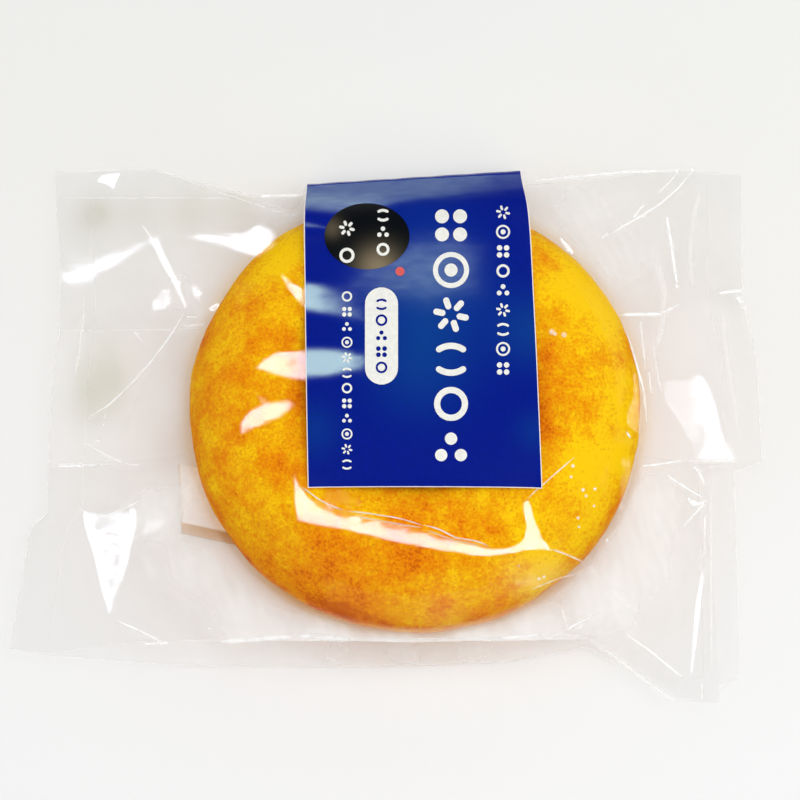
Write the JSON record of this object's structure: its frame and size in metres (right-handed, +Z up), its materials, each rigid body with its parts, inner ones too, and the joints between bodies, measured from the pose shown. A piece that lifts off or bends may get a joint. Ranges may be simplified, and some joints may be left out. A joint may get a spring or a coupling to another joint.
{
  "type": "baked okara doughnut in a clear film bag",
  "caption": "Round baked doughnut sealed in a clear film bag with flat end seals, a dark blue label folded over the bag's long edge and a small white sticker on its back.",
  "frame": {"origin": "under the middle of the bag's outline, on the surface it lies on", "axes": "+X along the bag's long side, +Y towards the long edge that the label is folded over, +Z up"},
  "size_m": [0.1352, 0.1024, 0.0307],
  "materials": {
    "film": "gloss",
    "crust": "matte",
    "label_print": "satin",
    "sticker_paper": "matte"
  },
  "bodies": {
    "root": {"bag": "film", "front_label": "label_print", "back_label": "sticker_paper"}
  },
  "joints": []
}
